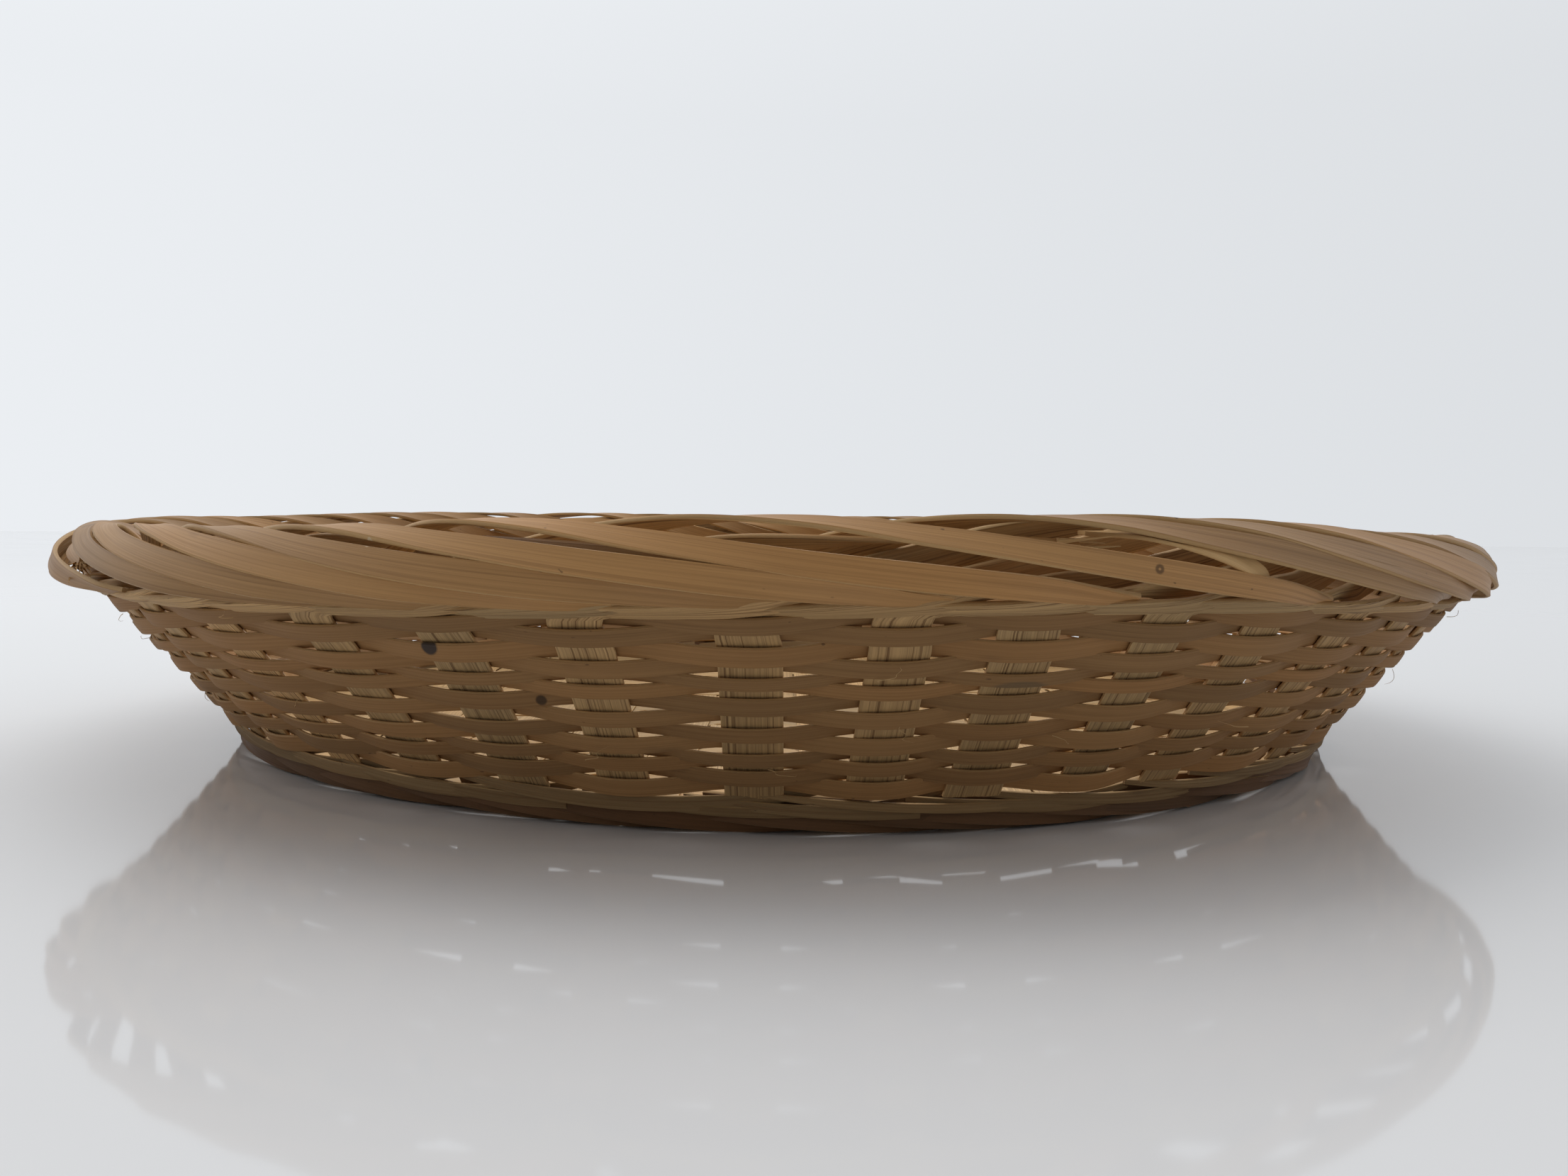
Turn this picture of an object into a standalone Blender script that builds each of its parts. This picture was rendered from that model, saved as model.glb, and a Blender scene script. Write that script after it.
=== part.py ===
"""Shallow round basket woven from split bamboo: flared wall, rolled rim border and twisted foot border."""
import math

import bmesh
import bpy
from mathutils import Matrix

# Driving dimensions, in metres and radians. The origin is the centre of the circle the basket stands on.
RIM_OUTER_RADIUS = 0.1525
BASKET_HEIGHT = 0.048
RIM_HALF_WIDTH = 0.0081
RIM_HALF_HEIGHT = 0.0068

FOOT_RADIUS = 0.1200
FOOT_HALF_WIDTH = 0.0035
FOOT_HALF_HEIGHT = 0.0034
FOOT_CENTRE_HEIGHT = 0.0026

WALL_RADIUS_AT_TABLE = 0.1216
WALL_LEAN = math.radians(36.6)

STAKE_COUNT = 43
STAKE_WIDTH = 0.0090
STAKE_THICKNESS = 0.0008
STAKE_LOW = 0.0039
STAKE_HIGH = 0.0330
FRONT_STAKE_ANGLE = math.radians(267.5)

WEAVER_ROWS = 14
WEAVER_WIDTH = 0.0026
WEAVER_THICKNESS = 0.0007
FIRST_ROW_HEIGHT = 0.0078
LAST_ROW_HEIGHT = 0.0326

BASE_RADIUS = 0.1160
BASE_THICKNESS = 0.0018
BASE_UNDERSIDE = 0.0010

PIECE_GAP = 0.0003
BORDER_STEPS = 72
RIM_PROFILE_POINTS = 16
FOOT_PROFILE_POINTS = 12
MERGE_DISTANCE = 0.00001

RIM_COLOUR = (0.50, 0.33, 0.18)
FOOT_COLOUR = (0.36, 0.25, 0.14)
STAKE_COLOUR = (0.52, 0.44, 0.29)
WEAVER_COLOUR = (0.43, 0.29, 0.16)
BASE_COLOUR = (0.47, 0.35, 0.21)
BAMBOO_ROUGHNESS = 0.55
TONE_SPREAD = 0.12
GOLDEN_RATIO = 0.618034


def remove_scene_objects():
    """Start from an empty scene."""
    for thing in list(bpy.data.objects):
        bpy.data.objects.remove(thing, do_unlink=True)


def basket_collection():
    """Return the collection that holds every piece of the basket."""
    collection = bpy.data.collections.new("woven_bamboo_basket")
    bpy.context.scene.collection.children.link(collection)
    return collection


def bamboo_material(name, colour, number=0):
    """Return a plain bamboo material; the number shifts its tone a little, as strips differ."""
    tone = 1.0 + TONE_SPREAD * ((number * GOLDEN_RATIO) % 1.0 - 0.5)
    material = bpy.data.materials.new(name)
    material.use_nodes = True
    shader = material.node_tree.nodes["Principled BSDF"]
    shader.inputs["Base Color"].default_value = (colour[0] * tone, colour[1] * tone, colour[2] * tone, 1.0)
    shader.inputs["Roughness"].default_value = BAMBOO_ROUGHNESS
    shader.inputs["Metallic"].default_value = 0.0
    return material


def add_piece(collection, name, mesh, colour, number=0):
    """Link one named piece with its own material."""
    if not mesh.materials:
        mesh.materials.append(None)
    piece = bpy.data.objects.new(name, mesh)
    piece.material_slots[0].link = "OBJECT"
    piece.material_slots[0].material = bamboo_material(name + "_bamboo", colour, number)
    collection.objects.link(piece)
    return piece


def wall_point(height, depth):
    """Return radius and height of a point that lies behind the wall's outer face, square to it."""
    radius = WALL_RADIUS_AT_TABLE + height * math.tan(WALL_LEAN) - depth * math.cos(WALL_LEAN)
    return radius, height + depth * math.sin(WALL_LEAN)


def profile_mesh(name, points):
    """Return a closed outline in the XZ plane, which runs down its outer side."""
    mesh = bpy.data.meshes.new(name)
    count = len(points)
    edges = [(index, (index + 1) % count) for index in range(count)]
    mesh.from_pydata([(radius, 0.0, height) for radius, height in points], edges, [])
    return mesh


def turned_ring(collection, name, points, steps, colour, number=0, turn=0.0):
    """Turn a closed outline once round the basket's axis."""
    ring = add_piece(collection, name, profile_mesh(name, points), colour, number)
    ring.rotation_euler.z = turn
    screw = ring.modifiers.new("turn", "SCREW")
    screw.axis = "Z"
    screw.angle = math.tau
    screw.steps = steps
    screw.render_steps = steps
    screw.use_merge_vertices = True
    screw.merge_threshold = MERGE_DISTANCE
    screw.use_smooth_shade = True
    return ring


def roll_outline(centre_radius, centre_height, half_width, half_height, count):
    """Return an oval outline, from its top down its outer side, cut flat where it meets the table."""
    points = []
    for index in range(count):
        angle = math.pi / 2 - index * math.tau / count
        radius = centre_radius + half_width * math.cos(angle)
        height = centre_height + half_height * math.sin(angle)
        points.append((radius, max(height, 0.0)))
    return points


def add_rim_border(collection):
    """The roll round the mouth, laid from the stakes' split upper ends."""
    centre_radius = RIM_OUTER_RADIUS - RIM_HALF_WIDTH
    centre_height = BASKET_HEIGHT - RIM_HALF_HEIGHT
    outline = roll_outline(centre_radius, centre_height, RIM_HALF_WIDTH, RIM_HALF_HEIGHT, RIM_PROFILE_POINTS)
    turned_ring(collection, "rim_border", outline, BORDER_STEPS, RIM_COLOUR)


def add_foot_border(collection):
    """The low twisted ring that the basket stands on."""
    outline = roll_outline(
        FOOT_RADIUS, FOOT_CENTRE_HEIGHT, FOOT_HALF_WIDTH, FOOT_HALF_HEIGHT, FOOT_PROFILE_POINTS
    )
    turned_ring(collection, "foot_border", outline, BORDER_STEPS, FOOT_COLOUR)


def add_base_mat(collection):
    """The woven mat that closes the bottom, held inside the foot border."""
    form = bmesh.new()
    bmesh.ops.create_cone(
        form,
        cap_ends=True,
        segments=BORDER_STEPS,
        radius1=BASE_RADIUS,
        radius2=BASE_RADIUS,
        depth=BASE_THICKNESS,
    )
    mesh = bpy.data.meshes.new("base_mat")
    form.to_mesh(mesh)
    form.free()
    mat = add_piece(collection, "base_mat", mesh, BASE_COLOUR)
    mat.location.z = BASE_UNDERSIDE + BASE_THICKNESS / 2


def stake_angle(index):
    """Return the direction of one stake; number 0 stands at the front."""
    return FRONT_STAKE_ANGLE + index * math.tau / STAKE_COUNT


def add_stakes(collection):
    """The upright bars, which lean outwards between the outer and the inner weaver rows."""
    slope_length = (STAKE_HIGH - STAKE_LOW) / math.cos(WALL_LEAN)
    form = bmesh.new()
    bar_size = (STAKE_THICKNESS, STAKE_WIDTH, slope_length, 1.0)
    bmesh.ops.create_cube(form, size=1.0, matrix=Matrix.Diagonal(bar_size))
    mesh = bpy.data.meshes.new("stake")
    form.to_mesh(mesh)
    form.free()
    depth = WEAVER_THICKNESS + PIECE_GAP + STAKE_THICKNESS / 2
    radius, height = wall_point((STAKE_LOW + STAKE_HIGH) / 2, depth)
    for index in range(STAKE_COUNT):
        angle = stake_angle(index)
        stake = add_piece(collection, f"stake_{index + 1:02d}", mesh, STAKE_COLOUR, index)
        stake.location = (radius * math.cos(angle), radius * math.sin(angle), height)
        stake.rotation_euler = (0.0, WALL_LEAN, angle)


def row_outline(height, depth):
    """Return the section of one weaver row, whose flats lie square to the stakes."""
    half_rise = WEAVER_WIDTH / 2 * math.cos(WALL_LEAN)
    corners = [
        wall_point(height + half_rise, depth),
        wall_point(height - half_rise, depth),
        wall_point(height - half_rise, depth + WEAVER_THICKNESS),
        wall_point(height + half_rise, depth + WEAVER_THICKNESS),
    ]
    corner_reach = 1.0 / math.cos(math.pi / STAKE_COUNT)
    return [(radius * corner_reach, level) for radius, level in corners]


def add_weaver_rows(collection):
    """The thin strips; odd rows lie outside the stakes and even rows inside them."""
    pitch = (LAST_ROW_HEIGHT - FIRST_ROW_HEIGHT) / (WEAVER_ROWS - 1)
    inner_depth = WEAVER_THICKNESS + PIECE_GAP + STAKE_THICKNESS + PIECE_GAP
    half_step = math.pi / STAKE_COUNT
    for row in range(WEAVER_ROWS):
        depth = inner_depth if row % 2 else 0.0
        height = FIRST_ROW_HEIGHT + row * pitch - depth * math.sin(WALL_LEAN)
        turned_ring(
            collection,
            f"weaver_row_{row + 1:02d}",
            row_outline(height, depth),
            STAKE_COUNT,
            WEAVER_COLOUR,
            row,
            FRONT_STAKE_ANGLE + half_step,
        )


def main():
    remove_scene_objects()
    collection = basket_collection()
    add_rim_border(collection)
    add_foot_border(collection)
    add_base_mat(collection)
    add_stakes(collection)
    add_weaver_rows(collection)


if __name__ == "__main__":
    main()
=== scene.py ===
import math
import random

import bpy
import numpy as np
from bpy.props import FloatProperty, FloatVectorProperty, IntProperty, PointerProperty
from bpy.types import Operator, Panel, PropertyGroup
from mathutils import Euler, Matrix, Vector


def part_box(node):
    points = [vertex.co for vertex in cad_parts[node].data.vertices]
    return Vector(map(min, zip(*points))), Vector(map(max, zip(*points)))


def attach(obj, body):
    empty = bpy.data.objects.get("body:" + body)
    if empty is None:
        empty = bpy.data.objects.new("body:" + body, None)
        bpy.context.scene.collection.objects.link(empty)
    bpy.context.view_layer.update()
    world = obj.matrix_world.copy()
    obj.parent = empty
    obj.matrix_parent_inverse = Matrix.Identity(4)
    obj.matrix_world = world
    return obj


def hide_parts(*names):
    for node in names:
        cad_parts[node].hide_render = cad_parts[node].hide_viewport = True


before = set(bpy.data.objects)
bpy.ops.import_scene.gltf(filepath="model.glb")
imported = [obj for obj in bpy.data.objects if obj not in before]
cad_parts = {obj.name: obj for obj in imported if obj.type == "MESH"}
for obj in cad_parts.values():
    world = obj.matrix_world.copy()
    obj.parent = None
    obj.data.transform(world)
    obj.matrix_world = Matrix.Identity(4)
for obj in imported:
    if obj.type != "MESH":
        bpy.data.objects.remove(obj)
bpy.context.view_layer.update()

bl_info = {
    "name": "Woven bamboo basket",
    "version": (1, 0, 0),
    "blender": (4, 5, 0),
    "location": "3D View > Sidebar > Basket",
    "description": "Weaves a shallow round basket from split bamboo, strip by strip",
    "category": "Add Mesh",
}

# The places that come from the frame: the stakes, the weaver rows and the two borders.
STAKE_NODES = sorted(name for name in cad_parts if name.startswith("stake_"))
ROW_NODES = sorted(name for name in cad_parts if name.startswith("weaver_row_"))
STAKES = len(STAKE_NODES)
ROWS = len(ROW_NODES)
STEP = math.tau / STAKES
HALF_TURN = (STAKES + 1) // 2

RIM_LOW, RIM_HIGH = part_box("rim_border")
FOOT_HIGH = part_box("foot_border")[1]
BASE_LOW, BASE_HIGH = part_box("base_mat")


def middle(node):
    """Return the centre of a node's box."""
    low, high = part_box(node)
    return (low + high) / 2


STAKE_MIDDLE = middle(STAKE_NODES[0])
STAKE_RADIUS = math.hypot(STAKE_MIDDLE.x, STAKE_MIDDLE.y)
FIRST_OUTSIDE_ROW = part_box(ROW_NODES[0])[1]
LAST_OUTSIDE_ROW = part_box(ROW_NODES[-2])[1]
OUTSIDE_ROWS_SPAN = LAST_OUTSIDE_ROW - FIRST_OUTSIDE_ROW
WALL_LEAN = math.atan2(OUTSIDE_ROWS_SPAN.x, OUTSIDE_ROWS_SPAN.z)
WALL_UP = np.array((math.sin(WALL_LEAN), math.cos(WALL_LEAN)))
WALL_OUT = np.array((math.cos(WALL_LEAN), -math.sin(WALL_LEAN)))

# The rim roll's section: half its width, and half its height as the frame has it.
RIM_HALF_WIDTH = 0.0081
RIM_HALF_HEIGHT = (RIM_HIGH.z - RIM_LOW.z) / 2
RIM_ROLL = ((RIM_HIGH.x - RIM_LOW.x) / 2 - RIM_HALF_WIDTH, (RIM_HIGH.z + RIM_LOW.z) / 2)

# Heights on the wall, in metres: the stakes' lower ends, the weaver's last turn, and the stakes' bend.
STAKE_FOOT = 0.0060
LAST_TURN = 0.0343
STAKE_BEND = 0.0348
# The height from which the basket counts as rim and no longer as wall.
WALL_TOP = 0.0345

# A strip's section: how far in from its edges the full thickness starts, in widths, and half the thickness
# left at the very edge, in thicknesses.
EDGE_START = 0.035
EDGE_HALF = 0.22
SHARP_ANGLE = math.radians(48)

# The weaver: how far its turns' ends stay apart, in steps, and how often it is sampled in a step.
TURN_GAP = 0.006
SAMPLES_IN_STEP = 14
# Where a stake's outer edge starts to bend: its share of a step, and the radius in metres.
BEND_SHARE = 0.22
BEND_RADIUS = 0.146
# Strands of the foot: how far they stand out of the even circle and above the floor, in metres, their
# thickness and that of the binding strands, and how those lean in and face.
FOOT_REACH = 0.0004
FLOOR_CLEARANCE = 0.0004
FOOT_STRAND_THICKNESS = 0.0006
BINDER_THICKNESS = 0.0005
BINDER_LEAN = 0.45
BINDER_FACING = -14
# The base mat: how far it reaches into the foot, its wave and its strips' thickness, in metres, the distance
# between sections, and the part of a spacing over which a strip changes sides.
MAT_TUCK = 0.0060
MAT_LIFT = 0.00040
MAT_THICKNESS = 0.00052
MAT_SAMPLE = 0.0008
MAT_CHANGE = (0.28, 0.72)
# Fibres: half the height and the thickness of a loose and of a torn one, the torn ones' radius, and how far
# out in the roll they start, as a share of its half sizes.
LOOSE_FIBRE = (0.00005, 0.00008)
TORN_FIBRE = (0.00020, 0.00018)
TORN_RADIUS = 0.148
TORN_DEPTH = 0.62
SHORT_STRAND_THICKNESS = 0.0006

# The stage, in metres: the floor's radius, the overhead panel's size and place, and the point it faces.
FLOOR_RADIUS = 4.0
PANEL_SIZE = (1.2, 0.8)
PANEL_PLACE = (-0.25, 0.45, 0.9)
PANEL_AIM = Vector((0, 0, 0.03))

# The Mix node's sockets for colours.
MIX_FACTOR, MIX_FIRST, MIX_SECOND, MIX_RESULT = 0, 6, 7, 2

# How far each stake by the front stands off its even place, in degrees, from six left to six right of it.
STAKE_DRIFT = (0.1, -0.8, -0.3, 0.9, 1.2, 0.8, 1.4, 1.1, -0.2, -0.4, -1.2, -1.3, -1.4)

# The weaver's width at the front of each turn and the rise to the next turn, in millimetres, foot first.
WEAVER_WIDTHS = (3.2, 2.9, 2.5, 2.2, 3.0, 2.7, 2.8, 3.2, 2.3, 2.1, 3.0, 3.4, 3.0, 2.7)
WEAVER_RISES = (2.5, 2.4, 1.7, 2.6, 2.5, 3.0, 2.8, 2.7, 1.8, 2.6, 2.7, 3.2, 2.3)

# By degrees round from the front: how far the rim stands above its even height, and how far the rim, the top
# of the wall and the foot stand out of their even circles, in millimetres.
WARP = (
    (-180, 1.2, 0.0, 0.0, 0.0),
    (-130, 0.4, 0.0, -0.2, -0.8),
    (-95, -1.6, 0.3, -1.0, -2.6),
    (-66, -2.9, 0.9, -1.8, -4.2),
    (-40, -3.2, 0.3, -1.0, -4.8),
    (-22, -2.4, 0.0, -0.2, -4.2),
    (-8, -1.4, 0.0, 0.0, -2.4),
    (0, -1.0, 0.0, 0.0, -1.6),
    (15, -0.2, 0.0, 0.0, -0.9),
    (25, -0.5, 0.0, 0.0, -1.0),
    (40, -2.0, 0.0, -0.3, -1.6),
    (55, -3.0, 0.0, -0.6, -2.0),
    (75, -2.9, 0.3, -0.6, -1.8),
    (100, -1.9, 0.0, -0.2, -0.8),
    (135, 0.1, 0.0, 0.0, 0.0),
    (180, 1.2, 0.0, 0.0, 0.0),
)

# Where a stake's two edges run as it turns over into the rim, from the top of the weave: steps round and rise
# in millimetres for the edge outside the bend, the same for the edge inside it, and the shift out of the
# wall. A step is the distance from one stake to the next.
BEND = (
    (-0.200, 1.4, 0.250, 0.1, 0.0),
    (-0.120, 2.2, 0.420, 0.3, 0.3),
    (0.200, 2.6, 0.720, 0.6, 0.7),
    (0.620, 3.0, 1.000, 0.9, 0.9),
    (1.020, 3.4, 1.240, 1.4, 0.6),
    (1.360, 3.9, 1.480, 2.2, -0.6),
)
# The strand's way round the rim roll: steps round, place across the roll (1 is its outer side), place up it
# (-1 is the wall's side), the direction the skin faces in degrees (0 outwards, 90 up), and the share of its
# width.
RIM_WAY = (
    (1.95, -0.12, -0.46, 162, 0.98),
    (2.40, -0.50, -0.40, 170, 1.15),
    (3.00, -0.84, -0.10, 180, 1.28),
    (3.90, -0.72, 0.60, 140, 1.28),
    (4.60, -0.12, 0.94, 100, 1.08),
    (5.30, 0.40, 0.88, 72, 1.00),
    (6.00, 0.74, 0.58, 46, 1.00),
    (7.00, 0.95, 0.12, 17, 1.00),
    (8.00, 0.93, -0.26, 0, 1.00),
    (8.50, 0.80, -0.42, -22, 0.92),
    (8.85, 0.58, -0.54, -50, 0.86),
    (9.10, 0.34, -0.58, -75, 0.80),
)
# A foot strand's way: steps round, distance in from the foot's outer side and height in millimetres, the
# direction its skin faces, and the share of its width.
FOOT_WAY = (
    (-0.70, 1.6, 5.0, -30, 0.70),
    (-0.30, 0.9, 4.4, -20, 0.90),
    (0.15, 0.4, 3.7, -10, 1.00),
    (0.60, 0.1, 2.9, -2, 1.00),
    (1.10, 0.1, 2.1, -2, 1.00),
    (1.60, 0.5, 1.5, -12, 1.00),
    (2.10, 1.2, 1.10, -30, 0.95),
    (2.60, 2.5, 0.80, -60, 0.90),
    (3.10, 4.2, 0.60, -84, 0.90),
    (3.60, 6.0, 0.55, -88, 0.90),
)
# The binding strand under each stake: steps round, shift out of the wall and height in millimetres, and the
# share of its width. Some are cut short by BINDER_CUT of these places.
BINDER_WAY = (
    (-1.70, -0.9, 6.3, 0.50),
    (-1.20, 0.3, 5.9, 0.75),
    (-0.65, 1.0, 5.4, 0.95),
    (-0.10, 1.3, 5.0, 1.05),
    (0.45, 1.3, 4.9, 1.05),
    (1.00, 0.9, 5.1, 0.95),
    (1.50, 0.1, 5.6, 0.80),
    (1.95, -0.9, 6.2, 0.50),
)
BINDER_CUT = 3
# Rim strands that lie out of the common order, counted from the front stake: steps later, how deep they sink
# into the roll, and how much wider they are. They leave the long openings along the front of the rim.
ODD_STRANDS = {
    2: (0.00, 0.00, 1.05),
    1: (0.05, 0.00, 1.12),
    0: (0.00, 0.00, 1.05),
    -1: (-0.08, 0.00, 1.12),
    -2: (0.00, 0.00, 1.15),
    -3: (0.00, 0.00, 1.10),
    -4: (0.25, 0.40, 0.80),
    -5: (0.32, 0.00, 0.90),
    -6: (-0.50, 0.00, 0.92),
    -7: (0.10, 0.34, 1.00),
    -8: (0.30, 0.00, 0.95),
    -9: (0.22, 0.00, 1.06),
    -10: (0.26, 0.00, 1.02),
    -11: (0.16, 0.00, 0.98),
    -12: (0.36, 0.00, 0.92),
    -13: (0.05, 0.36, 0.86),
    -14: (-0.18, 0.00, 0.90),
}
# Rim strands that end in torn fibres, and how many steps from their stake they do.
CUT_STRANDS = {-4: 6.0, -13: 7.5}

# The short fibrous strand inside the long opening at the right of the front: degrees round from the front,
# radius and height in millimetres, the direction its skin faces, and its width in millimetres.
SHORT_STRAND = (
    (17.0, 143.5, 45.6, 88, 2.0),
    (19.6, 147.8, 45.3, 74, 2.8),
    (22.4, 150.4, 44.1, 50, 3.3),
    (25.0, 151.3, 42.1, 26, 3.4),
    (26.9, 150.7, 39.6, 4, 3.1),
    (27.5, 149.6, 38.5, -4, 2.8),
)

# Marks on the strips: the place in degrees round from the front with radius and height in millimetres, its
# scale along each direction, inner and outer radius in metres, the colour's name, and the strength.
WEAVER_MARKS = (
    ((-19.2, 142.8, 28.9), (1.0, 0.3, 0.9), 0.0, 0.0013, "knot", 0.90),
    ((-13.7, 136.1, 21.0), (1.0, 0.3, 1.0), 0.0, 0.0010, "spot", 0.85),
    ((14.3, 139.5, 23.9), (0.25, 0.3, 1.1), 0.0, 0.0012, "stain", 0.50),
)
STAKE_MARKS = (
    ((19.5, 151.5, 40.8), (1.0, 0.25, 1.0), 0.00045, 0.00085, "ring", 0.75),
    ((-21.0, 150.0, 43.2), (1.0, 0.15, 0.7), 0.00020, 0.00050, "nick", 0.90),
)


def length_property(name, description, default):
    """Return a length in metres."""
    return FloatProperty(
        name=name, description=description, default=default, min=0.0, unit="LENGTH", precision=5
    )


def colour_property(name, description, default):
    """Return a colour property in linear light."""
    return FloatVectorProperty(
        name=name, description=description, default=default, subtype="COLOR", size=3, min=0.0, max=1.0
    )


class BasketSizes(PropertyGroup):
    """Sizes that a maker would change."""

    stake_width: length_property("Stake width", "Width of an upright stake", 0.0088)
    stake_thickness: length_property("Stake thickness", "Thickness of a stake", 0.0008)
    weaver_thickness: length_property("Weaver thickness", "Thickness of the weaving strip", 0.00052)
    weaver_bow: length_property("Weaver bow", "How far the weaver stands off a stake it passes", 0.00045)
    weaver_tilt: FloatProperty(
        name="Weaver tilt",
        description="How far the weaver's lower edge tips outwards",
        default=math.radians(7),
        subtype="ANGLE",
    )
    rim_strip_width: length_property("Rim strand width", "Width of a strand in the rim", 0.0039)
    foot_strip_width: length_property("Foot strand width", "Width of a strand in the foot", 0.0027)
    base_strip_width: length_property("Base strip width", "Width of a strip in the base mat", 0.0092)
    base_strip_pitch: length_property("Base strip spacing", "Distance between strips of the base mat", 0.0097)
    sample_length: length_property("Sample length", "Distance between cross-sections of a strand", 0.0014)
    frayed_fibres: IntProperty(
        name="Frayed fibres", description="Number of fibres at each torn end in the rim", default=36, min=0
    )
    loose_fibres: IntProperty(
        name="Loose fibres", description="Number of fine fibres that stand off the strips", default=34, min=0
    )


class BasketColours(PropertyGroup):
    """Colours of the bamboo and of the stage."""

    skin: colour_property("Skin", "Smooth outer face of a rim strand", (0.43, 0.242, 0.094))
    skin_dark: colour_property("Skin, dark grain", "Dark grain of the smooth face", (0.25, 0.130, 0.048))
    pith: colour_property("Pith", "Fibrous inner face of a stake", (0.57, 0.378, 0.176))
    pith_dark: colour_property("Pith, dark fibre", "Dark fibre lines of the inner face", (0.20, 0.112, 0.048))
    weaver: colour_property("Weaver", "Weaving strip", (0.345, 0.190, 0.074))
    weaver_dark: colour_property("Weaver, dark grain", "Grain of the weaving strip", (0.215, 0.112, 0.043))
    # Darker than the weaver: painted shade of the wall's overhang on the foot.
    foot: colour_property("Foot", "Smooth face of a foot strand", (0.16, 0.080, 0.034))
    speck: colour_property("Speck", "Small stains and knots", (0.035, 0.022, 0.016))
    knot: colour_property("Knot", "Dark knot in the weaver", (0.020, 0.020, 0.024))
    spot: colour_property("Spot", "Brown spot on the weaver", (0.045, 0.026, 0.014))
    stain: colour_property("Stain", "Grey stain on the weaver", (0.10, 0.085, 0.055))
    ring: colour_property("Ring", "Brown ring on a rim strand", (0.09, 0.045, 0.018))
    nick: colour_property("Nick", "Pale nick in a rim strand", (0.70, 0.58, 0.38))
    floor: colour_property("Floor", "Plain pale floor", (0.80, 0.80, 0.805))
    near_surround: colour_property("Near surround", "Light from the viewer's side", (0.235, 0.23, 0.225))
    far_surround: colour_property("Far surround", "Light from behind the basket", (0.80, 0.825, 0.855))


class StageSettings(PropertyGroup):
    """Camera and light."""

    camera_distance: length_property("Camera distance", "From the basket's middle", 0.310)
    camera_height: length_property("Camera height", "Above the floor", 0.0463)
    camera_side: length_property("Camera side", "To the right of the basket's middle", 0.0016)
    lens: FloatProperty(name="Lens", description="Focal length", default=29.23, unit="CAMERA")
    lens_shift: FloatProperty(name="Lens shift", description="Rise of the view", default=-0.0414)
    roll: FloatProperty(
        name="Camera roll", description="Turn about the view", default=math.radians(0.6), subtype="ANGLE"
    )
    overhead_power: FloatProperty(
        name="Overhead light", description="Power of the overhead panel", default=3.6, unit="POWER"
    )


def wall_point(rise, out):
    """Return (radius, height) on the stakes' plane, a rise up the slope and a distance out of it."""
    start = np.array((STAKE_RADIUS, STAKE_MIDDLE.z))
    rise = np.asarray(rise, float)
    out = np.asarray(out, float)
    return start + rise[..., None] * WALL_UP + out[..., None] * WALL_OUT


def rise_of(height):
    """Return how far up the slope a height on the stakes' plane lies."""
    return (height - STAKE_MIDDLE.z) / math.cos(WALL_LEAN)


def warp_at(angles):
    """Return how far up the rim stands, and how far out the rim, the wall's top and the foot do."""
    degrees = np.degrees(np.asarray(angles, float)) + 90.0
    degrees = (degrees + 180.0) % 360.0 - 180.0
    table = np.array(WARP)
    return smooth_through(table[:, 0], table[:, 1:], degrees) / 1000


def share_between(values, low, high):
    """Return 0 below low, 1 above high and a straight rise between."""
    return np.clip((values - low) / (high - low), 0.0, 1.0)


def settled(points):
    """Shift points of the wall, the rim and the foot out of their even places."""
    rim_up, rim_out, top_out, foot_out = warp_at(np.arctan2(points[:, 1], points[:, 0])).T
    height = points[:, 2]
    up_share = 0.7 * share_between(height, 0.010, 0.034) + 0.3 * share_between(height, 0.035, 0.038)
    rim_share = share_between(height, WALL_TOP, WALL_TOP + 0.004)
    top_share = share_between(height, 0.0, WALL_TOP)
    wall_out = top_out * top_share + foot_out * (1.0 - top_share)
    out = rim_out * rim_share + wall_out * (1.0 - rim_share)
    points = points.copy()
    points[:, :2] *= (1.0 + out / np.linalg.norm(points[:, :2], axis=1))[:, None]
    points[:, 2] = height + rim_up * up_share
    return points


def mat_settled(points, radius):
    """Draw the mat in as far as the foot is, in proportion to the distance from its middle."""
    out = warp_at(np.arctan2(points[:, 1], points[:, 0]))[:, 3]
    points = points.copy()
    points[:, :2] *= (1.0 + out / radius)[:, None]
    return points


def turned(angles, radii, heights):
    """Turn cylindrical places into points."""
    return np.stack((radii * np.cos(angles), radii * np.sin(angles), heights), axis=-1)


def from_front(index):
    """Return how many stakes to the right of the front one a stake stands; to the left is below 0."""
    return (index + STAKES // 2) % STAKES - STAKES // 2


def drift_of(index):
    """Return how far a stake stands off its even place; index 0 is the front stake."""
    reach = len(STAKE_DRIFT) // 2
    if abs(from_front(index)) <= reach:
        return math.radians(STAKE_DRIFT[from_front(index) + reach])
    return math.radians(random.Random(700 + index).uniform(-0.5, 0.5))


def stake_direction(index):
    """Return the direction of a stake, where whole turns keep counting."""
    first = math.atan2(STAKE_MIDDLE.y, STAKE_MIDDLE.x)
    return first + index * STEP + drift_of(index % STAKES)


def smooth_through(stations, values, at):
    """Evaluate a smooth curve through the values at their stations."""
    stations = np.asarray(stations, float)
    values = np.asarray(values, float)
    slopes = np.gradient(values, stations, axis=0)
    cell = np.clip(np.searchsorted(stations, at, side="right") - 1, 0, len(stations) - 2)
    span = stations[cell + 1] - stations[cell]
    t = ((at - stations[cell]) / span)[:, None]
    start, end = values[cell], values[cell + 1]
    start_slope = slopes[cell] * span[:, None]
    end_slope = slopes[cell + 1] * span[:, None]
    return (
        (2 * t**3 - 3 * t**2 + 1) * start
        + (t**3 - 2 * t**2 + t) * start_slope
        + (3 * t**2 - 2 * t**3) * end
        + (t**3 - t**2) * end_slope
    )


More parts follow.
